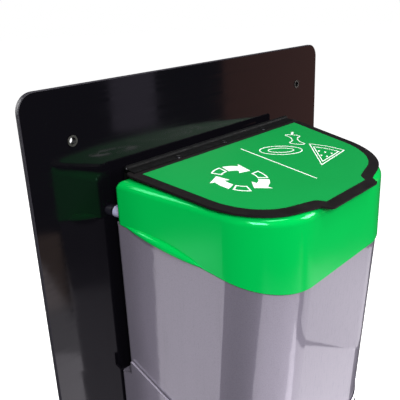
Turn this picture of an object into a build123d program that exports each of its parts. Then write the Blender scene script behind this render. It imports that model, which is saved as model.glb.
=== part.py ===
from build123d import *
from math import atan2, cos, degrees, radians, sin, tan
import os

os.makedirs("parts", exist_ok=True)

# A wall bin: a back panel, a pocket screwed to it, a lift-out bin with a lift-off hood and a
# hinged lid. X runs along the panel, -Y points out from the wall and +Z is up. The origin is the
# centre of the panel's wall face.

# Back panel
panel_width = 460.0
panel_height = 740.0
panel_thick = 5.0
panel_corner = 16.5
panel_edge_break = 0.6
hole_from_side = 48.5
hole_from_end = 47.5
eyelet_bore_radius = 3.25
eyelet_tube_wall = 0.75
eyelet_flange_radius = 5.2
eyelet_flange_thick = 0.6

# Plan of the bin, which the hood, body, pocket, sack ring and aperture all share
panel_gap = 11.5
rear_half_width = 150.2
hood_depth = 161.3
side_taper = 12.9
front_corner = 67.6
rear_corner = 3.5
smallest_corner = 1.0

# Hood
hood_wall = 3.0
hood_rear_top_drop = 90.0
hood_skirt_rear = 43.0
skirt_slope = 18.8
hood_top_round = 8.0
aperture_inset = 28.0
collar_thick = 3.0
collar_drop = 8.0
grip_start = 4.5
grip_length = 89.5
grip_bulge = 4.7
grip_rise = 1.2

# Body
body_inset = 1.5
body_wall = 2.5
body_floor_thick = 3.0
body_height = 507.0
front_lean = 4.2
body_rear_set = 3.0
body_rear_corner = 3.0
neck_clearance = 0.8
neck_root = 8.0
shadow_gap = 1.6
body_foot_round = 5.0
seat_gap = 0.3

# Sack ring, an angle section that hangs in the body's rim
ring_lip_thick = 1.5
ring_band_thick = 2.2
ring_band_drop = 14.0
ring_clearance = 0.3

# Pocket
pocket_wall = 2.0
pocket_clearance = 1.0
pocket_lip_drop = 199.5
pocket_lip_slope = 39.6
pocket_step_drop = 15.0
pocket_pad_height = 3.0
pocket_pad_radius = 9.0
pocket_pad_spread = 180.0
pocket_pad_depth = 72.0
drain_radius = 4.0
drain_spread = 70.0
pocket_corner = 3.0

# Pocket fasteners
screw_radius = 2.5
screw_clearance = 0.2
screw_head_radius = 4.8
screw_head_depth = 2.6
screw_head_sink = 0.2
screw_end = 1.2
washer_radius = 5.5
washer_thick = 1.0
nut_flats = 8.0
nut_height = 4.0
pocket_screw_spread = 120.0
pocket_screw_top_drop = 34.0
pocket_screw_foot_rise = 70.0

# Hinge
hinge_rise = 7.0
hinge_end_inset = 14.8
knuckle_radius = 3.0
knuckle_count = 9
knuckle_gap = 0.4
leaf_thick = 1.0
leaf_sweep_clearance = 0.6
pin_radius = 1.5
pin_running_clearance = 0.06
pin_head_radius = 2.4
pin_head_thick = 1.2
hood_leaf_height = 25.0
lid_leaf_reach = 12.0
rivet_radius = 1.6
rivet_head_radius = 3.2
rivet_head_height = 1.2
rivet_tail_radius = 2.6
rivet_tail_depth = 1.0
lid_rivet_pitch = 73.0
lid_rivet_reach = 9.4
hood_rivet_pitch = 70.0
hood_rivet_drop = 20.0

# Lid
lid_slope = 10.0
lid_thick = 2.0
lid_rear_inset = 7.8
lid_side_taper = 7.2
lid_rear_reach = 5.9
lid_front_overhang = 10.0
lid_corner = 73.0
lid_rear_corner = 5.5
lid_front_rake = 14.0
tab_root_half = 50.3
tab_tip_half = 43.7
tab_length = 9.5
tab_corner = 5.0
label_border = 11.3
label_thick = 0.3

# Lid rest pads
rest_pad_radius = 4.5
rest_pad_spread = 110.0
rest_pad_from_front = 19.0
rest_pad_height = 1.1
rest_pad_stem_radius = 2.0
rest_pad_bulb_radius = 2.8
rest_pad_bulb_height = 2.0

# Buffers that space the bin off the panel
buffer_radius = 6.0
buffer_edge_round = 0.8
hood_buffer_side_inset = 9.8
hood_buffer_rise = 6.8
body_buffer_spread = 200.0
body_buffer_rise = 60.0
buffer_screw_radius = 1.5
buffer_screw_head_radius = 3.0
buffer_screw_head_height = 2.0
buffer_screw_recess = 2.5

# Heights and depths that follow from the sizes above
panel_top = panel_height / 2
panel_face_y = -panel_thick
back_y = panel_face_y - panel_gap
front_y = back_y - hood_depth
body_back_y = back_y + body_rear_set
tan_taper = tan(radians(side_taper))
cos_taper = cos(radians(side_taper))
hood_rear_z = panel_top - hood_rear_top_drop
skirt_rear_z = hood_rear_z - hood_skirt_rear
lean_start_z = skirt_rear_z - shadow_gap - hood_depth * tan(radians(skirt_slope))
body_foot_z = skirt_rear_z - body_height
above_z = hood_rear_z + 20.0
neck_inset = hood_wall + neck_clearance
neck_inner_inset = neck_inset + body_wall
body_inner_inset = body_inset + body_wall
pocket_floor_z = body_foot_z - seat_gap - pocket_pad_height
pocket_lip_z = panel_top - hood_rear_top_drop - pocket_lip_drop
hinge_y = back_y + leaf_thick - knuckle_radius
hinge_z = hood_rear_z + hinge_rise
hinge_length = 2 * (rear_half_width - hinge_end_inset)
knuckle_pitch = hinge_length / knuckle_count
hood_buffer_spread = 2 * (rear_half_width - hood_buffer_side_inset)
lid_length = (hinge_y - front_y + lid_front_overhang) / cos(radians(lid_slope))
# The hood's top falls so that the pads on it meet the lid's underside when the lid is closed
rest_pad_y = front_y + rest_pad_from_front
lid_under_drop = (leaf_thick / 2 + lid_thick) / cos(radians(lid_slope))
lid_under_z = hinge_z - (hinge_y - rest_pad_y) * tan(radians(lid_slope)) - lid_under_drop
pad_foot_z = lid_under_z - rest_pad_height - seat_gap
hood_top_slope = degrees(atan2(hood_rear_z - pad_foot_z, back_y - rest_pad_y))


def slope_plane(y, z, angle, lift=0.0):
    """Plane through (y, z) that falls away from the wall by angle, lifted along its normal."""
    normal = Vector(0, -sin(radians(angle)), cos(radians(angle)))
    return Plane(origin=Vector(0, y, z) + normal * lift, x_dir=(1, 0, 0), z_dir=normal)


def side_x(y, inset=0.0):
    """Half width between the straight sides at depth y, moved in by inset."""
    return rear_half_width - (back_y - y) * tan_taper - inset / cos_taper


def corner(radius, inset):
    """Corner radius of an outline that lies inset within the hood's."""
    return max(radius - inset, smallest_corner)


def plan(plane, inset=0.0, lean=0.0, rear=None, rear_radius=None):
    """Outline at one height: straight back, converging sides and large front corners."""
    rear_y = back_y - inset if rear is None else rear
    rear_round = corner(rear_corner, inset) if rear_radius is None else rear_radius
    front = front_y + inset + lean
    half_rear = side_x(rear_y, inset)
    half_front = side_x(front, inset)
    with BuildSketch(plane) as outline:
        with BuildLine():
            Polyline(
                (-half_rear, rear_y),
                (half_rear, rear_y),
                (half_front, front),
                (-half_front, front),
                close=True,
            )
        make_face()
        fillet(outline.vertices().group_by(Axis.Y)[0], corner(front_corner, inset))
        fillet(outline.vertices().group_by(Axis.Y)[-1], rear_round)
    return outline.sketch


def lean_at(z):
    """How far the front has come back towards the wall at height z."""
    return (lean_start_z - z) * tan(radians(front_lean))


def upright_block(inset, low_plane, high_plane):
    """Prism on the plan between two sloping planes."""
    with BuildPart() as block:
        extrude(plan(floor_plane, inset), amount=above_z - body_foot_z)
        split(bisect_by=high_plane, keep=Keep.BOTTOM)
        split(bisect_by=low_plane, keep=Keep.TOP)
    return block.part


def leaning_block(inset, low, high, rear=None, rear_radius=None):
    """Block on the plan whose front leans back towards its foot."""
    foot = plan(Plane.XY.offset(low), inset, lean_at(low), rear, rear_radius)
    head = plan(Plane.XY.offset(high), inset, lean_at(high), rear, rear_radius)
    with BuildPart() as block:
        loft([foot, head], ruled=True)
    return block.part


def rivet(place, grip, head_height=rivet_head_height):
    """Domed head at the plane's origin, shank down through grip, flush flared tail."""
    with BuildPart() as piece:
        with BuildSketch(place * Plane.XZ):
            with BuildLine():
                ThreePointArc(
                    (0, head_height),
                    (rivet_head_radius * 0.72, head_height * 0.62),
                    (rivet_head_radius, 0),
                )
                Polyline(
                    (rivet_head_radius, 0),
                    (rivet_radius, 0),
                    (rivet_radius, rivet_tail_depth - grip),
                    (rivet_tail_radius, -grip),
                    (0, -grip),
                    (0, head_height),
                )
            make_face()
        revolve(axis=Axis(place.origin, place.z_dir))
    return piece.part


def rivet_hole(place, grip):
    """Space that a rivet's shank and flared tail fill below the plane's origin."""
    with BuildPart() as space:
        with BuildSketch(place * Plane.XZ):
            Polygon(
                (0, 0),
                (rivet_radius, 0),
                (rivet_radius, rivet_tail_depth - grip),
                (rivet_tail_radius, -grip),
                (0, -grip),
                align=None,
            )
        revolve(axis=Axis(place.origin, place.z_dir))
    return space.part


def finish(piece, label):
    """Name a finished piece and write it to its own file."""
    piece.part.label = label
    export_step(piece.part, f"parts/{label}.step")


hood_top = slope_plane(back_y, hood_rear_z, hood_top_slope)
hood_under = slope_plane(back_y, hood_rear_z, hood_top_slope, -hood_wall)
rim_top = slope_plane(
    back_y, hood_rear_z, hood_top_slope, -hood_wall - seat_gap - ring_lip_thick
)
skirt_edge = slope_plane(back_y, skirt_rear_z, skirt_slope)
shoulder = slope_plane(back_y, skirt_rear_z - shadow_gap, skirt_slope)
neck_foot = slope_plane(back_y, skirt_rear_z - shadow_gap - neck_root, skirt_slope)
floor_plane = Plane.XY.offset(body_foot_z)
lid_plane = slope_plane(hinge_y, hinge_z, lid_slope)


# ---- Back panel: flat sheet with rounded corners, four lined fixing holes, four screw holes ----
fixing_x = panel_width / 2 - hole_from_side
fixing_z = panel_height / 2 - hole_from_end
fixing_points = [(x, z) for x in (-fixing_x, fixing_x) for z in (-fixing_z, fixing_z)]
pocket_screw_x = pocket_screw_spread / 2
pocket_screw_high_z = pocket_lip_z - pocket_step_drop - pocket_screw_top_drop
pocket_screw_low_z = pocket_floor_z + pocket_screw_foot_rise
pocket_screw_points = [
    (x, z)
    for x in (-pocket_screw_x, pocket_screw_x)
    for z in (pocket_screw_low_z, pocket_screw_high_z)
]
# Seen from the wall side, so that the local Y axis is up
wall_face = Plane(origin=(0, 0, 0), x_dir=(-1, 0, 0), z_dir=(0, 1, 0))
eyelet_tube_radius = eyelet_bore_radius + eyelet_tube_wall

with BuildPart() as backboard:
    with BuildSketch(wall_face):
        RectangleRounded(panel_width, panel_height, panel_corner)
    extrude(amount=-panel_thick)
    chamfer(backboard.faces().sort_by(Axis.Y)[0].outer_wire().edges(), panel_edge_break)
    chamfer(backboard.faces().sort_by(Axis.Y)[-1].outer_wire().edges(), panel_edge_break)
    with Locations(wall_face):
        with Locations(*fixing_points):
            Hole(eyelet_tube_radius, depth=panel_thick)
        with Locations(*pocket_screw_points):
            CounterSinkHole(
                screw_radius + screw_clearance,
                screw_head_radius + screw_head_sink + screw_clearance,
                depth=panel_thick,
            )
finish(backboard, "backboard")

with BuildPart() as hole_eyelets:
    with BuildSketch(wall_face):
        with Locations(*fixing_points):
            Circle(eyelet_tube_radius)
            Circle(eyelet_bore_radius, mode=Mode.SUBTRACT)
    extrude(amount=-panel_thick)
    with BuildSketch(wall_face.offset(-panel_thick)):
        with Locations(*fixing_points):
            Circle(eyelet_flange_radius)
            Circle(eyelet_bore_radius, mode=Mode.SUBTRACT)
    extrude(amount=-eyelet_flange_thick)
finish(hole_eyelets, "hole_eyelets")


# ---- Pocket: the bin stands in it, and its back lies flat on the panel ----
pocket_outer_inset = body_inset - pocket_clearance - pocket_wall
pocket_inner_inset = body_inset - pocket_clearance
pocket_foot_z = pocket_floor_z - pocket_wall
pocket_back_y = panel_face_y - pocket_wall
pocket_lip = slope_plane(back_y - body_inset, pocket_lip_z, pocket_lip_slope)
pocket_outer = leaning_block(
    pocket_outer_inset, pocket_foot_z, pocket_lip_z, panel_face_y, pocket_corner
)
pocket_inner = leaning_block(
    pocket_inner_inset, pocket_floor_z, pocket_lip_z, pocket_back_y, smallest_corner
)
floor_front_y = front_y + pocket_inner_inset + lean_at(pocket_floor_z)
pad_centre_y = (back_y + floor_front_y) / 2

with BuildPart() as cradle:
    add(pocket_outer)
    add(pocket_inner, mode=Mode.SUBTRACT)
    split(bisect_by=pocket_lip, keep=Keep.BOTTOM)
    with BuildSketch(Plane.XY.offset(pocket_lip_z - pocket_step_drop)):
        with Locations((0, panel_face_y)):
            Rectangle(
                panel_width, panel_gap + body_inset, align=(Align.CENTER, Align.MAX)
            )
    extrude(amount=panel_gap + pocket_step_drop, mode=Mode.SUBTRACT)
    with BuildSketch(Plane.XY.offset(pocket_floor_z)):
        with Locations((0, pad_centre_y)):
            with GridLocations(drain_spread, drain_spread / 2, 3, 2):
                Circle(drain_radius)
    extrude(amount=-pocket_wall, mode=Mode.SUBTRACT)
    with BuildSketch(wall_face.offset(-panel_thick)):
        with Locations(*pocket_screw_points):
            Circle(screw_radius + screw_clearance)
    extrude(amount=-pocket_wall, mode=Mode.SUBTRACT)
finish(cradle, "cradle")

with BuildPart() as cradle_pads:
    with BuildSketch(Plane.XY.offset(pocket_floor_z)):
        with Locations((0, pad_centre_y)):
            with GridLocations(pocket_pad_spread, pocket_pad_depth, 2, 2):
                Circle(pocket_pad_radius)
    extrude(amount=pocket_pad_height)
finish(cradle_pads, "cradle_pads")

screw_length = panel_thick + pocket_wall + washer_thick + nut_height + screw_end

with BuildPart() as cradle_screws:
    with BuildSketch(wall_face.offset(-screw_head_sink)):
        with Locations(*pocket_screw_points):
            Circle(screw_radius)
    extrude(amount=screw_head_sink - screw_length)
    for x, z in pocket_screw_points:
        with Locations(Location(wall_face.offset(-screw_head_sink) * Pos(x, z))):
            Cone(
                screw_radius,
                screw_head_radius,
                screw_head_depth,
                align=(Align.CENTER, Align.CENTER, Align.MAX),
            )
finish(cradle_screws, "cradle_screws")

with BuildPart() as cradle_washers:
    with BuildSketch(wall_face.offset(-panel_thick - pocket_wall)):
        with Locations(*pocket_screw_points):
            Circle(washer_radius)
            Circle(screw_radius + screw_clearance, mode=Mode.SUBTRACT)
    extrude(amount=-washer_thick)
finish(cradle_washers, "cradle_washers")

with BuildPart() as cradle_nuts:
    with BuildSketch(wall_face.offset(-panel_thick - pocket_wall - washer_thick)):
        with Locations(*pocket_screw_points):
            RegularPolygon(nut_flats / 2, 6, major_radius=False)
            Circle(screw_radius, mode=Mode.SUBTRACT)
    extrude(amount=-nut_height)
finish(cradle_nuts, "cradle_nuts")


# ---- Body: thin-walled bin whose stepped neck goes up inside the hood ----
body_outer = leaning_block(body_inset, body_foot_z, above_z, body_back_y, body_rear_corner)
body_neck = upright_block(neck_inset, neck_foot, rim_top)
body_hollow = split(
    leaning_block(
        body_inner_inset,
        body_foot_z + body_floor_thick,
        above_z,
        body_back_y - body_wall,
        corner(body_rear_corner, body_wall),
    ),
    bisect_by=neck_foot,
    keep=Keep.BOTTOM,
)
neck_hollow = upright_block(neck_inner_inset, neck_foot.offset(-1.0), hood_top)
body_buffer_z = body_foot_z + body_buffer_rise
body_buffer_plane = Plane(
    origin=(0, body_back_y, body_buffer_z), x_dir=(-1, 0, 0), z_dir=(0, 1, 0)
)
body_buffer_length = panel_face_y - pocket_wall - seat_gap - body_back_y

with BuildPart() as bin_body:
    add(body_outer)
    split(bisect_by=shoulder, keep=Keep.BOTTOM)
    fillet(bin_body.faces().sort_by(Axis.Z)[0].edges(), body_foot_round)
    add(body_neck)
    add(body_hollow, mode=Mode.SUBTRACT)
    add(neck_hollow, mode=Mode.SUBTRACT)
    with BuildSketch(body_buffer_plane):
        with GridLocations(body_buffer_spread, 1, 2, 1):
            Circle(buffer_screw_radius)
    extrude(amount=-body_wall, mode=Mode.SUBTRACT)
finish(bin_body, "bin_body")

ring_band_outer = neck_inner_inset + ring_clearance
ring_band_inner = ring_band_outer + ring_band_thick
ring_lip = upright_block(neck_inset, rim_top, rim_top.offset(ring_lip_thick))
ring_band = upright_block(
    ring_band_outer, rim_top.offset(-ring_band_drop), rim_top.offset(ring_lip_thick)
)
ring_hollow = upright_block(ring_band_inner, rim_top.offset(-ring_band_drop - 1), hood_top)

with BuildPart() as sack_ring:
    add(ring_lip)
    add(ring_band)
    add(ring_hollow, mode=Mode.SUBTRACT)
finish(sack_ring, "sack_ring")


# ---- Buffers: drilled discs that keep the bin off the panel, each with its screw ----
def buffers(plane, spread, length):
    """A pair of drilled discs standing on plane, countersunk for their screws."""
    with BuildPart() as pair:
        with BuildSketch(plane):
            with GridLocations(spread, 1, 2, 1):
                Circle(buffer_radius)
        extrude(amount=length)
        chamfer(pair.edges().filter_by(GeomType.CIRCLE).group_by(Axis.Y)[-1], buffer_edge_round)
        with Locations(plane.offset(length)):
            with GridLocations(spread, 1, 2, 1):
                CounterBoreHole(
                    buffer_screw_radius,
                    buffer_screw_head_radius,
                    buffer_screw_recess,
                    depth=length,
                )
    return pair.part


def buffer_screws(plane, spread, length, wall):
    """The pair of screws that hold the buffers to a wall behind plane."""
    head_foot = length - buffer_screw_recess
    with BuildPart() as pair:
        with BuildSketch(plane.offset(-wall)):
            with GridLocations(spread, 1, 2, 1):
                Circle(buffer_screw_radius)
        extrude(amount=wall + head_foot)
        with BuildSketch(plane.offset(head_foot)):
            with GridLocations(spread, 1, 2, 1):
                Circle(buffer_screw_head_radius)
                RegularPolygon(buffer_screw_radius, 6, mode=Mode.SUBTRACT)
        extrude(amount=buffer_screw_head_height)
        with BuildSketch(plane.offset(head_foot)):
            with GridLocations(spread, 1, 2, 1):
                RegularPolygon(buffer_screw_radius, 6)
        extrude(amount=buffer_screw_head_height / 2)
    return pair.part


with BuildPart() as body_buffers:
    add(buffers(body_buffer_plane, body_buffer_spread, body_buffer_length))
finish(body_buffers, "body_buffers")

with BuildPart() as body_buffer_screws:
    add(
        buffer_screws(
            body_buffer_plane, body_buffer_spread, body_buffer_length, body_wall
        )
    )
finish(body_buffer_screws, "body_buffer_screws")


# ---- Hood: moulded cover with a sloping top, an aperture with a collar and two grip lips ----
hood_hollow = upright_block(hood_wall, floor_plane, hood_under)
collar_foot = hood_under.offset(-collar_drop)
collar_outer = upright_block(aperture_inset - collar_thick, collar_foot, hood_under)
aperture = upright_block(aperture_inset, floor_plane, hood_top.offset(1.0))
hood_buffer_z = skirt_rear_z + hood_buffer_rise
hood_buffer_plane = Plane(
    origin=(0, back_y, hood_buffer_z), x_dir=(-1, 0, 0), z_dir=(0, 1, 0)
)
hood_buffer_length = panel_gap - seat_gap
hood_rivet_z = hinge_z - hood_rivet_drop
hood_rivet_places = [
    Plane(origin=(x, back_y + leaf_thick, hood_rivet_z), x_dir=(-1, 0, 0), z_dir=(0, 1, 0))
    for x in (
        -1.5 * hood_rivet_pitch,
        -0.5 * hood_rivet_pitch,
        0.5 * hood_rivet_pitch,
        1.5 * hood_rivet_pitch,
    )
]
rest_pad_plane = hood_top
rest_pad_v = (rest_pad_y - back_y) / cos(radians(hood_top_slope))


def grip_lip(side):
    """Spindle-shaped swelling along one side's lower edge; side is -1 or 1."""
    mid_y = back_y - grip_start - grip_length / 2
    drop = (back_y - mid_y) * tan(radians(skirt_slope))
    along = Vector(side * tan_taper, 1, tan(radians(skirt_slope)))
    middle = Vector(side * side_x(mid_y), mid_y, skirt_rear_z - drop + grip_rise)
    place = Plane(origin=middle, x_dir=along, z_dir=(side, -tan_taper, 0))
    with BuildPart() as lip:
        with BuildSketch(place):
            with BuildLine():
                ThreePointArc((-grip_length / 2, 0), (0, grip_bulge), (grip_length / 2, 0))
                Line((grip_length / 2, 0), (-grip_length / 2, 0))
            make_face()
        revolve(axis=Axis(place.origin, place.x_dir))
    return lip.part


with BuildPart() as hood:
    extrude(plan(floor_plane), amount=above_z - body_foot_z)
    split(bisect_by=hood_top, keep=Keep.BOTTOM)
    split(bisect_by=neck_foot, keep=Keep.TOP)
    fillet(hood.faces().sort_by(Axis.Z)[-1].edges(), hood_top_round)
    add([grip_lip(-1), grip_lip(1)])
    split(bisect_by=skirt_edge, keep=Keep.TOP)
    add(hood_hollow, mode=Mode.SUBTRACT)
    add(collar_outer)
    add(aperture, mode=Mode.SUBTRACT)
    for place in hood_rivet_places:
        add(rivet_hole(place, leaf_thick + hood_wall), mode=Mode.SUBTRACT)
    with BuildSketch(hood_buffer_plane):
        with GridLocations(hood_buffer_spread, 1, 2, 1):
            Circle(buffer_screw_radius)
    extrude(amount=-hood_wall - 1, mode=Mode.SUBTRACT)
    with BuildSketch(rest_pad_plane):
        with Locations((0, rest_pad_v)):
            with GridLocations(rest_pad_spread, 1, 2, 1):
                Circle(rest_pad_stem_radius)
    extrude(amount=-hood_wall, mode=Mode.SUBTRACT)
finish(hood, "hood")

with BuildPart() as hood_buffers:
    add(buffers(hood_buffer_plane, hood_buffer_spread, hood_buffer_length))
finish(hood_buffers, "hood_buffers")

with BuildPart() as hood_buffer_screws:
    add(
        buffer_screws(
            hood_buffer_plane, hood_buffer_spread, hood_buffer_length, hood_wall
        )
    )
finish(hood_buffer_screws, "hood_buffer_screws")

with BuildPart() as lid_rest_pads:
    for plane, radius, height in (
        (rest_pad_plane, rest_pad_radius, rest_pad_height),
        (rest_pad_plane, rest_pad_stem_radius, -hood_wall),
        (rest_pad_plane.offset(-hood_wall), rest_pad_bulb_radius, -rest_pad_bulb_height),
    ):
        with BuildSketch(plane):
            with Locations((0, rest_pad_v)):
                with GridLocations(rest_pad_spread, 1, 2, 1):
                    Circle(radius)
        extrude(amount=height)
finish(lid_rest_pads, "lid_rest_pads")


# ---- Hinge: two rolled leaves whose knuckles alternate along one pin ----
def knuckle_centres(first):
    """X of every second knuckle, counted from first."""
    start = -hinge_length / 2 + knuckle_pitch / 2
    return [start + knuckle_pitch * i for i in range(first, knuckle_count, 2)]


def knuckles(centres, bore):
    """Row of rolled barrels on the hinge axis."""
    with BuildPart() as row:
        for x in centres:
            place = Plane(origin=(x, hinge_y, hinge_z), z_dir=(1, 0, 0))
            with BuildSketch(place):
                Circle(knuckle_radius)
                Circle(bore, mode=Mode.SUBTRACT)
            extrude(amount=(knuckle_pitch - knuckle_gap) / 2, both=True)
    return row.part


hood_knuckle_x = knuckle_centres(0)
lid_knuckle_x = knuckle_centres(1)
sweep_radius = knuckle_radius + leaf_sweep_clearance
hood_leaf_plane = Plane(
    origin=(0, back_y + leaf_thick, hinge_z), x_dir=(-1, 0, 0), z_dir=(0, 1, 0)
)
hinge_bore = Plane(origin=(-hinge_length, hinge_y, hinge_z), z_dir=(1, 0, 0))

with BuildPart() as hood_hinge_leaf:
    with BuildSketch(hood_leaf_plane):
        Rectangle(
            hinge_length - knuckle_gap,
            hood_leaf_height,
            align=(Align.CENTER, Align.MAX),
        )
        with Locations(*[(x, 0) for x in lid_knuckle_x]):
            Rectangle(
                knuckle_pitch + knuckle_gap, 2 * sweep_radius, mode=Mode.SUBTRACT
            )
    extrude(amount=-leaf_thick)
    add(knuckles(hood_knuckle_x, pin_radius))
    with BuildSketch(hinge_bore):
        Circle(pin_radius)
    extrude(amount=2 * hinge_length, mode=Mode.SUBTRACT)
    for place in hood_rivet_places:
        add(rivet_hole(place, leaf_thick + hood_wall), mode=Mode.SUBTRACT)
finish(hood_hinge_leaf, "hood_hinge_leaf")

with BuildPart() as hood_leaf_rivets:
    for place in hood_rivet_places:
        add(rivet(place, leaf_thick + hood_wall))
finish(hood_leaf_rivets, "hood_leaf_rivets")

with BuildPart() as hinge_pin:
    with BuildSketch(Plane(origin=(0, hinge_y, hinge_z), z_dir=(1, 0, 0))):
        Circle(pin_radius)
    extrude(amount=hinge_length / 2, both=True)
    for end in (-1, 1):
        place = Plane(
            origin=(end * (hinge_length - knuckle_gap) / 2, hinge_y, hinge_z),
            z_dir=(end, 0, 0),
        )
        with BuildSketch(place):
            Circle(pin_head_radius)
        extrude(amount=pin_head_thick)
finish(hinge_pin, "hinge_pin")

lid_leaf_low = lid_plane.offset(-leaf_thick / 2)
lid_rivet_places = [
    lid_plane.offset(leaf_thick / 2) * Pos(x, -lid_rivet_reach)
    for x in (-lid_rivet_pitch, 0, lid_rivet_pitch)
]
lid_rivet_planes = [Plane(place) for place in lid_rivet_places]

with BuildPart() as lid_hinge_leaf:
    with BuildSketch(lid_leaf_low):
        Rectangle(
            hinge_length - knuckle_gap, lid_leaf_reach, align=(Align.CENTER, Align.MAX)
        )
        with Locations(*[(x, 0) for x in hood_knuckle_x]):
            Rectangle(
                knuckle_pitch + knuckle_gap, 2 * sweep_radius, mode=Mode.SUBTRACT
            )
    extrude(amount=leaf_thick)
    add(knuckles(lid_knuckle_x, pin_radius + pin_running_clearance))
    with BuildSketch(hinge_bore):
        Circle(pin_radius + pin_running_clearance)
    extrude(amount=2 * hinge_length, mode=Mode.SUBTRACT)
    for place in lid_rivet_planes:
        add(rivet_hole(place, leaf_thick + lid_thick), mode=Mode.SUBTRACT)
finish(lid_hinge_leaf, "lid_hinge_leaf")

with BuildPart() as lid_rivets:
    for place in lid_rivet_planes:
        add(rivet(place, leaf_thick + lid_thick))
finish(lid_rivets, "lid_rivets")


# ---- Lid: flat panel with a raked, round-cornered front and a finger tab, and its label ----
def lid_outline(plane, border=0.0):
    """The lid's edge on plane, or an outline that lies border inside it."""
    rear_half = rear_half_width - lid_rear_inset
    converge = tan(radians(lid_side_taper))
    tab_root = -lid_length + tab_length
    rake = tan(radians(lid_front_rake))
    # where the converging side meets the raked front
    corner_x = rear_half + (tab_root + lid_rear_reach) * converge
    corner_x = (corner_x - rake * converge * tab_root_half) / (1 - rake * converge)
    corner_v = tab_root + rake * (corner_x - tab_root_half)
    with BuildSketch(plane) as outline:
        with BuildLine():
            right = [
                (rear_half, -lid_rear_reach),
                (corner_x, corner_v),
                (tab_root_half, tab_root),
                (tab_tip_half, -lid_length),
            ]
            left = [(-x, v) for x, v in reversed(right)]
            Polyline(*right, *left, close=True)
        make_face()
        by_depth = outline.vertices().group_by(Axis.Y)
        fillet(by_depth[0], tab_corner)
        fillet(outline.vertices().filter_by(lambda v: abs(abs(v.X) - corner_x) < 0.01), lid_corner)
        fillet(outline.vertices().group_by(Axis.Y)[-1], lid_rear_corner)
        if border:
            offset(amount=-border, mode=Mode.REPLACE)
    return outline.sketch


lid_top = lid_plane.offset(-leaf_thick / 2)

with BuildPart() as lid_panel:
    extrude(lid_outline(lid_top), amount=-lid_thick)
    for place in lid_rivet_planes:
        add(rivet_hole(place, leaf_thick + lid_thick), mode=Mode.SUBTRACT)
finish(lid_panel, "lid_panel")

with BuildPart() as lid_label:
    extrude(lid_outline(lid_top, label_border), amount=label_thick)
finish(lid_label, "lid_label")
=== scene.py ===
from math import cos, radians, sin

import bmesh
import bpy
from mathutils import Matrix, Vector


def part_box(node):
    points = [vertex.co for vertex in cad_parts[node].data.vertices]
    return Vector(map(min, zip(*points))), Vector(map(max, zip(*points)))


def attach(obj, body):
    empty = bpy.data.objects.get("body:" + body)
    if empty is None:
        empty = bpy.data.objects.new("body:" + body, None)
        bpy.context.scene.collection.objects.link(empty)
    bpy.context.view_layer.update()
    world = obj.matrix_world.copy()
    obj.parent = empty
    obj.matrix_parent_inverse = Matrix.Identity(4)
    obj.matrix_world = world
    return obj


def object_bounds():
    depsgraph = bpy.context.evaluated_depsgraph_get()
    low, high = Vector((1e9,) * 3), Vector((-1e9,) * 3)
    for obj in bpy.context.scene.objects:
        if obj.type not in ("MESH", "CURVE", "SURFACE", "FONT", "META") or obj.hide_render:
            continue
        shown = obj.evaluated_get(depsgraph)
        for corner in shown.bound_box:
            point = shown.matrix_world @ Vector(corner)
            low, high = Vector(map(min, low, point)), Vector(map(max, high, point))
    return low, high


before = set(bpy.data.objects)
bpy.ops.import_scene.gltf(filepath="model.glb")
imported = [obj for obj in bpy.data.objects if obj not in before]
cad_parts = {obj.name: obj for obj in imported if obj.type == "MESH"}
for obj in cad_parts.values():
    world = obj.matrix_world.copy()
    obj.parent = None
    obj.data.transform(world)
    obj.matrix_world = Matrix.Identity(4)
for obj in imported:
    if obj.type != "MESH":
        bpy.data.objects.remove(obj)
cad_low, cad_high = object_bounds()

# Camera.
# It stands to the left of the panel and a little above the lid, and looks down at the hood.
board_low, board_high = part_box("backboard")
board_width = board_high.x - board_low.x
camera_data = bpy.data.cameras.new("camera")
camera_data.lens = 50.9
camera_data.sensor_width = 36.0
camera = bpy.data.objects.new("camera", camera_data)
camera.location = Vector((
    -1.0176 * board_width,
    board_low.y - 0.8876 * board_width,
    board_high.z + 0.1466 * board_width,
))
camera_turn = Matrix.Rotation(radians(-47.77), 4, "Z")
camera_tilt = Matrix.Rotation(radians(90 - 19.82), 4, "X")
camera_roll = Matrix.Rotation(radians(-2.52), 4, "Z")
camera.rotation_euler = (camera_turn @ camera_tilt @ camera_roll).to_euler()
bpy.context.collection.objects.link(camera)
bpy.context.scene.camera = camera


# Studio.
# A pale floor under the panel's foot, a white room seen beyond it, and softboxes. The gloss sees
# only the softboxes and a dim room, as in a darkened studio, so that black stays black. Colours
# are shown as they are, with no film curve.
bpy.context.scene.view_settings.view_transform = "Standard"


def linear(code):
    """Linear RGBA of an sRGB hex colour."""
    parts = [int(code[i:i + 2], 16) / 255 for i in (1, 3, 5)]
    return (*[p / 12.92 if p <= 0.04045 else ((p + 0.055) / 1.055) ** 2.4 for p in parts], 1.0)


def add(tree, kind, inputs=None, **settings):
    """Add one shader node, with its settings and what its sockets hold or are linked to."""
    made = tree.nodes.new("ShaderNode" + kind)
    for name, value in settings.items():
        setattr(made, name, value)
    for socket, value in (inputs or {}).items():
        if isinstance(value, bpy.types.NodeSocket):
            tree.links.new(value, made.inputs[socket])
        else:
            made.inputs[socket].default_value = value
    return made


def surface(name):
    """A new material: its node tree and its shader."""
    made = bpy.data.materials.new(name)
    made.use_nodes = True
    made.node_tree.nodes.clear()
    shader = add(made.node_tree, "BsdfPrincipled")
    add(made.node_tree, "OutputMaterial", {"Surface": shader.outputs["BSDF"]})
    return made, made.node_tree, shader


def piece(name, mesh_maker, material):
    """An object at the origin whose place is in its mesh."""
    mesh = bpy.data.meshes.new(name)
    mesh_maker.to_mesh(mesh)
    mesh_maker.free()
    mesh.materials.append(material)
    made = bpy.data.objects.new(name, mesh)
    bpy.context.collection.objects.link(made)
    return made


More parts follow.
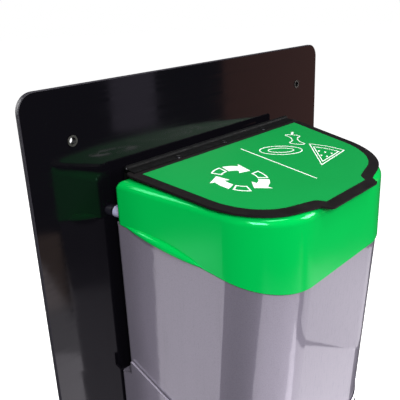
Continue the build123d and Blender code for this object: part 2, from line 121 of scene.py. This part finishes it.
def softbox(name, place, aim, width, height, watts, tint="#FFFFFF"):
    """A rectangular studio light that faces aim and that the camera doesn't see."""
    lamp = bpy.data.lights.new(name, "AREA")
    lamp.shape = "RECTANGLE"
    lamp.size = width
    lamp.size_y = height
    lamp.energy = watts
    lamp.color = linear(tint)[:3]
    light = bpy.data.objects.new(name, lamp)
    light.location = place
    light.rotation_euler = (Vector(aim) - Vector(place)).to_track_quat("-Z", "Y").to_euler()
    light.visible_camera = False
    bpy.context.collection.objects.link(light)


floor_material, _, floor_shader = surface("white painted floor")
floor_shader.inputs["Base Color"].default_value = linear("#C9C8C7")
floor_shader.inputs["Roughness"].default_value = 0.9
floor_shader.inputs["Emission Color"].default_value = linear("#FFFFFF")
floor_shader.inputs["Emission Strength"].default_value = 0.99
floor_maker = bmesh.new()
bmesh.ops.create_circle(
    floor_maker, cap_ends=True, segments=96, radius=14.0,
    matrix=Matrix.Translation((0, 0, cad_low.z)),
)
floor = piece("floor", floor_maker, floor_material)
floor.visible_glossy = False
floor.visible_diffuse = False
floor.visible_shadow = False

world = bpy.data.worlds.new("studio")
bpy.context.scene.world = world
world.use_nodes = True
room = world.node_tree
room.nodes.clear()
seen = add(room, "Background", {"Color": linear("#FFFFFF"), "Strength": 1.0})
unlit = add(room, "Background", {"Color": linear("#C9CDD8"), "Strength": 0.07})
path = add(room, "LightPath")
both = add(room, "MixShader", {
    0: path.outputs["Is Camera Ray"], 1: unlit.outputs[0], 2: seen.outputs[0],
})
add(room, "OutputWorld", {"Surface": both.outputs[0]})

middle = (0.0, -0.1, 0.1)
softbox("key", (-1.2, -1.5, 1.3), middle, 0.8, 0.8, 46)
softbox("fill", (1.4, -1.4, 1.1), middle, 0.8, 0.8, 28)
softbox("overhead", (0.15, -0.75, 1.65), middle, 0.7, 0.45, 9)
softbox("left strip", (-1.1, 0.35, 1.5), middle, 0.3, 0.9, 7)
softbox("behind", (-0.6, 1.7, 0.7), middle, 1.0, 1.0, 26)
softbox("rear sheen", (1.15, 1.30, -0.35), middle, 0.35, 1.3, 1.1)
# Low cards, which the upright glossy walls mirror as pale bands between dark ones
softbox("low left", (-1.34, 0.30, -0.82), (-0.15, -0.1, -0.1), 0.26, 0.9, 1.2, "#F4EEF8")
softbox("low front", (-0.13, -1.17, -0.88), (0.0, -0.17, -0.1), 1.64, 0.8, 5.9, "#F4EEF8")
softbox("low right", (0.75, -0.80, -1.22), (0.0, -0.17, -0.1), 1.2, 0.8, 4.3, "#F4EEF8")
softbox("right", (1.23, -0.73, -0.72), (0.15, -0.15, -0.1), 1.14, 0.38, 1.5, "#F4EEF8")
softbox("warm room", (1.45, -0.85, 0.15), (0.1, 0.0, 0.2), 0.5, 0.5, 0.34, "#FFB09A")
softbox("warm corner", (0.46, -1.14, -0.42), (-0.2, 0.0, -0.1), 0.10, 0.26, 0.05, "#FFD8C4")
softbox("violet corner", (0.87, -1.11, 0.14), (-0.1, 0.0, 0.25), 0.16, 0.3, 0.08, "#EFE2FF")


# Back panel.
# Cast acrylic sheet, cut to shape with its edges left matt from the saw and its faces as cast:
# deep black and mirror smooth, with faint level wiping marks that show only in the gloss.
wipe_long_mm = 330
wipe_fine_mm = 4
haze_mm = 140
acrylic, tree, shader = surface("cast black acrylic")
where = add(tree, "TexCoord").outputs["Object"]
facing = add(tree, "SeparateXYZ", {0: add(tree, "NewGeometry").outputs["Normal"]})
sideways = add(tree, "Math", {0: facing.outputs["Y"]}, operation="ABSOLUTE")
# 1 on the flat faces and 0 on the sawn edge
face = add(tree, "MapRange", {
    "Value": sideways.outputs[0], "From Min": 0.80, "From Max": 0.98,
})
stretched = add(tree, "Mapping", {
    "Vector": where, "Scale": (1000 / wipe_long_mm, 1, 1000 / wipe_fine_mm),
})
wiping = add(tree, "TexNoise", {"Vector": stretched.outputs[0], "Scale": 1.0, "Detail": 4.0})
haze = add(tree, "TexNoise", {"Vector": where, "Scale": 1000 / haze_mm, "Detail": 3.0})
marks = add(tree, "Math", {0: wiping.outputs[0], 1: haze.outputs[0]}, operation="MULTIPLY")
gloss = add(tree, "MapRange", {
    "Value": marks.outputs[0], "From Min": 0.12, "From Max": 0.42, "To Min": 0.03, "To Max": 0.13,
})
rough = add(tree, "Mix", {0: face.outputs[0], 2: 0.42, 3: gloss.outputs[0]})
colour = add(tree, "Mix", {
    0: face.outputs[0], 6: linear("#302E34"), 7: linear("#09080C"),
}, data_type="RGBA")
tree.links.new(colour.outputs[2], shader.inputs["Base Color"])
tree.links.new(rough.outputs[0], shader.inputs["Roughness"])
ripple = add(tree, "Bump", {
    "Height": haze.outputs[0], "Strength": 0.05, "Distance": 0.0004,
})
tree.links.new(ripple.outputs[0], shader.inputs["Normal"])
shader.inputs["IOR"].default_value = 1.49
shader.inputs["Specular IOR Level"].default_value = 0.3


def dress(node, material):
    """Give a CAD node its finish."""
    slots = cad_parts[node].data.materials
    slots.clear()
    slots.append(material)


dress("backboard", acrylic)


# Metal fittings.
# Turned or pressed steel with bright zinc plating, pale grey with a soft patchy spangle and fine
# rubbing. The eyelets have dulled, and their bores are painted near-black as shade inside the
# holes; the hinge pin and the rivets are blackened.
spangle_mm = 1.1
rubbing_mm = 0.4


def plated(name, light, dark, gloss_from, gloss_to, bore_shade=None):
    """A plated metal: a patchy spangle between two tones, fine rubbing, and maybe a painted-shade
    bore.
    """
    made, tree, shader = surface(name)
    where = add(tree, "TexCoord").outputs["Object"]
    spangle = add(tree, "TexVoronoi", {"Vector": where, "Scale": 1000 / spangle_mm})
    rubbing = add(tree, "TexNoise", {
        "Vector": where, "Scale": 1000 / rubbing_mm, "Detail": 3.0,
    })
    tone = add(tree, "Mix", {
        0: spangle.outputs["Distance"], 6: linear(light), 7: linear(dark),
    }, data_type="RGBA")
    # Faces turned sideways, the inside of a bore, take a near-black colour: painted shade for the
    # hole's dark inside
    if bore_shade:
        facing = add(tree, "SeparateXYZ", {0: add(tree, "NewGeometry").outputs["Normal"]})
        level = add(tree, "Math", {0: facing.outputs["Y"]}, operation="ABSOLUTE")
        flange_vs_bore_shade = add(tree, "MapRange", {
            "Value": level.outputs[0], "From Min": 0.4, "From Max": 0.9,
        })
        tone = add(tree, "Mix", {
            0: flange_vs_bore_shade.outputs[0], 6: linear(bore_shade), 7: tone.outputs[2],
        }, data_type="RGBA")
    gloss = add(tree, "MapRange", {
        "Value": rubbing.outputs[0], "To Min": gloss_from, "To Max": gloss_to,
    })
    tree.links.new(tone.outputs[2], shader.inputs["Base Color"])
    tree.links.new(gloss.outputs[0], shader.inputs["Roughness"])
    shader.inputs["Metallic"].default_value = 1.0
    relief = add(tree, "Bump", {
        "Height": rubbing.outputs[0], "Strength": 0.15, "Distance": 0.00005,
    })
    tree.links.new(relief.outputs[0], shader.inputs["Normal"])
    return made


zinc = plated("bright zinc plate", "#B9B9BC", "#8E8E94", 0.18, 0.46)
# The eyelets' bores are painted near-black as shade
dull_zinc_shaded_bore = plated("dulled zinc plate, bore painted shade", "#605D5B", "#42403E", 0.5, 0.7, bore_shade="#0C0B0D")
black_steel = plated("blackened steel", "#4A4A4D", "#2C2C2F", 0.22, 0.42)
for nodes, metal in (
    (("cradle_screws", "cradle_washers", "cradle_nuts"), zinc),
    (("body_buffer_screws", "hood_buffer_screws"), zinc),
    (("hole_eyelets",), dull_zinc_shaded_bore),
    (("hinge_pin", "lid_rivets", "hood_leaf_rivets"), black_steel),
):
    for node in nodes:
        dress(node, metal)


# Bin and pocket.
# Both are moulded ABS with silver-grey lacquer and a clear coat: a warm grey with fine metal
# flake, under a hard mirror-like coat that carries sharp reflections and a few fine scratches.
# The real flake is about 0.05 mm, and 0.8 mm clusters are as fine as a view can show
flake_mm = 0.8
cloud_mm = 200
scratch_fine_mm = 1.1
scratch_long_mm = 70
peel_mm = 6
lacquer, tree, shader = surface("silver-grey lacquered ABS")
where = add(tree, "TexCoord").outputs["Object"]
flake = add(tree, "TexVoronoi", {"Vector": where, "Scale": 1000 / flake_mm})
cloud = add(tree, "TexNoise", {"Vector": where, "Scale": 1000 / cloud_mm, "Detail": 2.0})
drift = add(tree, "Mix", {
    0: cloud.outputs[0], 6: linear("#7B7584"), 7: linear("#86808E"),
}, data_type="RGBA")
sparkle = add(tree, "MapRange", {
    "Value": flake.outputs["Distance"], "From Max": 0.9, "To Min": 0.10, "To Max": 0.0,
})
silver = add(tree, "Mix", {
    0: sparkle.outputs[0], 6: drift.outputs[2], 7: linear("#D8D3DE"),
}, data_type="RGBA")
tree.links.new(silver.outputs[2], shader.inputs["Base Color"])
shader.inputs["Metallic"].default_value = 0.35
shader.inputs["Coat Weight"].default_value = 1.0
shader.inputs["Coat IOR"].default_value = 1.7
drawn = add(tree, "Mapping", {
    "Vector": where, "Rotation": (0.3, 0.2, 0.0),
    "Scale": (1000 / scratch_fine_mm, 1000 / scratch_fine_mm, 1000 / scratch_long_mm),
})
scratch = add(tree, "TexNoise", {"Vector": drawn.outputs[0], "Scale": 1.0, "Detail": 2.0})
scuffed = add(tree, "MapRange", {
    "Value": scratch.outputs[0], "From Min": 0.55, "From Max": 0.75,
    "To Min": 0.34, "To Max": 0.55,
})
tree.links.new(scuffed.outputs[0], shader.inputs["Roughness"])
shader.inputs["Coat Roughness"].default_value = 0.04
peel = add(tree, "TexNoise", {"Vector": where, "Scale": 1000 / peel_mm, "Detail": 1.0})
relief = add(tree, "Bump", {"Height": peel.outputs[0], "Strength": 0.06, "Distance": 0.0002})
tree.links.new(relief.outputs[0], shader.inputs["Coat Normal"])
dress("cradle", lacquer)
dress("bin_body", lacquer)


# Soft and sliding pieces.
# The pocket's pads and the lid's rest pads are moulded black rubber, dull with a fine grain. The
# buffers are turned pale nylon, waxy and slightly blue, and the sack ring is black polypropylene.
def plain_plastic(name, light, dark, mottle_mm, roughness, grain_mm, grain_strength):
    """A moulded plastic or rubber: two close tones, uneven gloss and a fine moulded grain."""
    made, tree, shader = surface(name)
    where = add(tree, "TexCoord").outputs["Object"]
    mottle = add(tree, "TexNoise", {"Vector": where, "Scale": 1000 / mottle_mm, "Detail": 3.0})
    tone = add(tree, "Mix", {
        0: mottle.outputs[0], 6: linear(dark), 7: linear(light),
    }, data_type="RGBA")
    tree.links.new(tone.outputs[2], shader.inputs["Base Color"])
    gloss = add(tree, "MapRange", {
        "Value": mottle.outputs[0], "From Min": 0.3, "From Max": 0.7,
        "To Min": roughness * 0.8, "To Max": roughness * 1.2,
    })
    tree.links.new(gloss.outputs[0], shader.inputs["Roughness"])
    grain = add(tree, "TexNoise", {"Vector": where, "Scale": 1000 / grain_mm, "Detail": 2.0})
    relief = add(tree, "Bump", {
        "Height": grain.outputs[0], "Strength": grain_strength, "Distance": 0.0002,
    })
    tree.links.new(relief.outputs[0], shader.inputs["Normal"])
    return made, tree, shader


rubber = plain_plastic("moulded black rubber", "#201F20", "#151415", 6.0, 0.75, 0.8, 0.3)[0]
nylon, tree, shader = plain_plastic("turned nylon", "#C9CAE4", "#B4B5D6", 5.0, 0.35, 0.7, 0.1)
shader.inputs["Subsurface Weight"].default_value = 0.2
shader.inputs["Subsurface Radius"].default_value = (0.002, 0.002, 0.003)
ring_plastic = plain_plastic("black polypropylene", "#1B1B1C", "#121213", 20.0, 0.4, 1.0, 0.2)[0]
for node, material in (
    ("cradle_pads", rubber), ("lid_rest_pads", rubber), ("sack_ring", ring_plastic),
    ("body_buffers", nylon), ("hood_buffers", nylon),
):
    dress(node, material)


# Hood.
# Injection-moulded ABS, coloured through in a strong green from a polished mould: high gloss with
# faint sinks and flow, and a film of fine handling marks along the lower edge where it is lifted.
flow_mm = 110
handled_height = 0.035
smear_mm = 16
peel_mm = 8
green_abs, tree, shader = surface("polished green ABS")
where = add(tree, "TexCoord").outputs["Object"]
flow = add(tree, "TexNoise", {"Vector": where, "Scale": 1000 / flow_mm, "Detail": 2.0})
tone = add(tree, "Mix", {
    0: flow.outputs[0], 6: linear("#00B24A"), 7: linear("#00BE50"),
}, data_type="RGBA")
hood_low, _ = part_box("hood")
height = add(tree, "SeparateXYZ", {0: where})
handled = add(tree, "MapRange", {
    "Value": height.outputs["Z"],
    "From Min": hood_low.z, "From Max": hood_low.z + handled_height,
    "To Min": 1.0, "To Max": 0.0,
})
smear = add(tree, "TexNoise", {"Vector": where, "Scale": 1000 / smear_mm, "Detail": 5.0})
worn = add(tree, "Math", {0: handled.outputs[0], 1: smear.outputs[0]}, operation="MULTIPLY")
gloss = add(tree, "MapRange", {"Value": worn.outputs[0], "To Min": 0.14, "To Max": 0.34})
tree.links.new(tone.outputs[2], shader.inputs["Base Color"])
tree.links.new(gloss.outputs[0], shader.inputs["Roughness"])
shader.inputs["IOR"].default_value = 1.54
# Coloured through, the plastic tints even its gloss a little
shader.inputs["Specular Tint"].default_value = linear("#88FFD0")
peel = add(tree, "TexNoise", {"Vector": where, "Scale": 1000 / peel_mm, "Detail": 1.0})
relief = add(tree, "Bump", {"Height": peel.outputs[0], "Strength": 0.04, "Distance": 0.0003})
tree.links.new(relief.outputs[0], shader.inputs["Normal"])
dress("hood", green_abs)


# Hinge.
# Two pressed steel leaves rolled into knuckles, with black powder coat that shows a fine
# pebble. One is riveted to the hood and one to the lid.
powder, tree, shader = plain_plastic(
    "black powder-coated steel", "#0B0B0C", "#070708", 8.0, 0.6, 0.6, 0.35)
shader.inputs["Specular IOR Level"].default_value = 0.15
for node in ("hood_hinge_leaf", "lid_hinge_leaf"):
    dress(node, powder)


# Lid.
# A flat panel routed from black foamed PVC sheet: matt, with the faint pebble of the sheet and
# a slightly brown cast.
foam_pvc, tree, shader = plain_plastic(
    "black foamed PVC", "#161213", "#110E0F", 14.0, 0.6, 0.9, 0.25)
shader.inputs["Specular IOR Level"].default_value = 0.2
dress("lid_panel", foam_pvc)


# Label.
# Printed vinyl film stuck to the lid: an even mid green with a satin laminate that has a fine
# tooth and lies a little wavy over the panel.
lay_mm = 70
tooth_mm = 0.9
vinyl, tree, shader = surface("satin laminated vinyl")
where = add(tree, "TexCoord").outputs["Object"]
lay = add(tree, "TexNoise", {"Vector": where, "Scale": 1000 / lay_mm, "Detail": 1.0})
tooth = add(tree, "TexNoise", {"Vector": where, "Scale": 1000 / tooth_mm, "Detail": 2.0})
tone = add(tree, "Mix", {
    0: lay.outputs[0], 6: linear("#0B8C3F"), 7: linear("#0D9445"),
}, data_type="RGBA")
gloss = add(tree, "MapRange", {"Value": tooth.outputs[0], "To Min": 0.40, "To Max": 0.55})
tree.links.new(tone.outputs[2], shader.inputs["Base Color"])
tree.links.new(gloss.outputs[0], shader.inputs["Roughness"])
relief = add(tree, "Bump", {"Height": lay.outputs[0], "Strength": 0.1, "Distance": 0.0003})
tree.links.new(relief.outputs[0], shader.inputs["Normal"])
shader.inputs["Specular IOR Level"].default_value = 0.2
dress("lid_label", vinyl)


# Print on the label.
# Thick white screen-printed ink: a dividing line, a ring of three turning arrows on the left and
# food scraps in outline on the right. They are generic signs of this object's own drawing.
lid_slope = radians(10.0)
label_thick = 0.0003
ink_thick_mm = 0.12
cover_mm = 2
_, label_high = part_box("lid_label")
# Signs are drawn in millimetres: x across the lid, and y up its slope from the label's rear edge
label_rear = Vector((0, label_high.y - label_thick * sin(lid_slope), label_high.z))
on_label = (
    Matrix.Translation(label_rear)
    @ Matrix.Rotation(lid_slope, 4, "X")
    @ Matrix.Scale(0.001, 4)
)

ink, tree, shader = surface("white screen ink")
where = add(tree, "TexCoord").outputs["Object"]
cover = add(tree, "TexNoise", {"Vector": where, "Scale": 1000 / cover_mm, "Detail": 3.0})
tone = add(tree, "Mix", {
    0: cover.outputs[0], 6: linear("#EDF3EC"), 7: linear("#FFFFFF"),
}, data_type="RGBA")
tree.links.new(tone.outputs[2], shader.inputs["Base Color"])
shader.inputs["Roughness"].default_value = 0.5
relief = add(tree, "Bump", {"Height": cover.outputs[0], "Strength": 0.2, "Distance": 0.00005})
tree.links.new(relief.outputs[0], shader.inputs["Normal"])


def turned(points, centre, angle=0.0):
    """Flat points turned by angle degrees and moved to centre, in millimetres."""
    turn = Matrix.Rotation(radians(angle), 4, "Z")
    return [Vector((*centre, 0)) + turn @ Vector((*point, 0)) for point in points]


def arc(radius_x, radius_y, start, end, steps, centre=(0.0, 0.0)):
    """Points along an arc of an ellipse, from start to end in degrees."""
    angles = [radians(start + (end - start) * i / steps) for i in range(steps + 1)]
    return [(centre[0] + radius_x * cos(a), centre[1] + radius_y * sin(a)) for a in angles]


def printed(name, line_width, filled=(), outlined=()):
    """A layer of ink on the label, from closed shapes that are filled or drawn in outline."""
    maker = bmesh.new()
    for shape, hollow in [(s, False) for s in filled] + [(s, True) for s in outlined]:
        face = maker.faces.new([maker.verts.new(point) for point in shape])
        face.normal_update()
        if hollow:
            bmesh.ops.inset_region(
                maker, faces=[face], thickness=line_width, use_boundary=True,
                use_even_offset=True,
            )
            bmesh.ops.delete(maker, geom=[face], context="FACES_ONLY")
    bmesh.ops.recalc_face_normals(maker, faces=maker.faces[:])
    down = [face for face in maker.faces if face.normal.z < 0]
    bmesh.ops.reverse_faces(maker, faces=down)
    raised = bmesh.ops.extrude_face_region(maker, geom=maker.faces[:], use_keep_orig=True)
    top = [part for part in raised["geom"] if isinstance(part, bmesh.types.BMVert)]
    bmesh.ops.translate(maker, verts=top, vec=(0, 0, ink_thick_mm))
    bmesh.ops.recalc_face_normals(maker, faces=maker.faces[:])
    bmesh.ops.transform(maker, matrix=on_label, verts=maker.verts[:])
    made = piece(name, maker, ink)
    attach(made, "lid")
    return made


divider_from = 15.8
divider_to = 110.5
bold = 1.5
printed("label_divider", bold, filled=[[
    Vector((-bold / 2, -divider_from, 0)), Vector((-bold / 2, -divider_to, 0)),
    Vector((bold / 2, -divider_to, 0)), Vector((bold / 2, -divider_from, 0)),
]])

# The ring of arrows: each has a hollow tail and a solid head that ends in a barbed tip
ring_centre = (-62.0, -63.0)
ring_inner = 17.5
ring_outer = 28.5
barb_out = 5.5
tail_from, tail_to = 100, 64
head_from, head_to, tip_at = 57, 22, -8
heads = []
tails = []
for turn_angle in (20, 140, 260):
    tail = (
        arc(ring_outer, ring_outer, tail_from, tail_to, 8)
        + arc(ring_inner, ring_inner, tail_to, tail_from, 8)
    )
    point = [
        (radius * cos(radians(angle)), radius * sin(radians(angle)))
        for radius, angle in (
            (ring_outer + barb_out, head_to),
            ((ring_inner + ring_outer) / 2, tip_at),
            (ring_inner - barb_out, head_to),
        )
    ]
    head = (
        arc(ring_outer, ring_outer, head_from, head_to, 8) + point
        + arc(ring_inner, ring_inner, head_to, head_from, 8)
    )
    tails.append(turned(tail, ring_centre, turn_angle))
    heads.append(turned(head, ring_centre, turn_angle))
printed("label_arrows", bold, filled=heads, outlined=tails)

# The food scraps: a plate with its well, an apple core with its stalk, and a slice of melon
fine = 1.2
plate_centre = (34.0, -45.0)
plate_turn = -28
plate = turned(arc(26, 12.5, 0, 352, 44), plate_centre, plate_turn)
plate_well = turned(arc(16, 6.5, 0, 350, 35), plate_centre, plate_turn)

core_centre = (77.0, -35.0)
core_turn = -45
core_half_height = 11
core_half_width = 10
core = turned(
    arc(10, 5, 160, 20, 8, (0, core_half_height))
    + arc(6, 10, 110, 250, 10, (core_half_width, 0))
    + arc(10, 5, -20, -160, 8, (0, -core_half_height))
    + arc(6, 10, -70, 70, 10, (-core_half_width, 0)),
    core_centre, core_turn)
stalk = turned([(-1, 17), (1, 17), (4, 24), (1, 25)], core_centre, core_turn)

slice_tip = (34.0, -96.0)
slice_turn = 25
rind_radius = 62
flesh_radius = 54
rind = turned([(0, 0)] + arc(rind_radius, rind_radius, -19, 19, 12), slice_tip, slice_turn)
flesh = turned([(10, 0)] + arc(flesh_radius, flesh_radius, -16, 16, 12), slice_tip, slice_turn)
seeds = [
    turned(arc(2.0, 1.1, 0, 330, 11, place), slice_tip, slice_turn)
    for place in ((29, -3), (29, 3), (41, -7), (41, 0), (41, 7))
]
printed(
    "label_food", fine, filled=[stalk] + seeds, outlined=[plate, plate_well, core, rind, flesh],
)
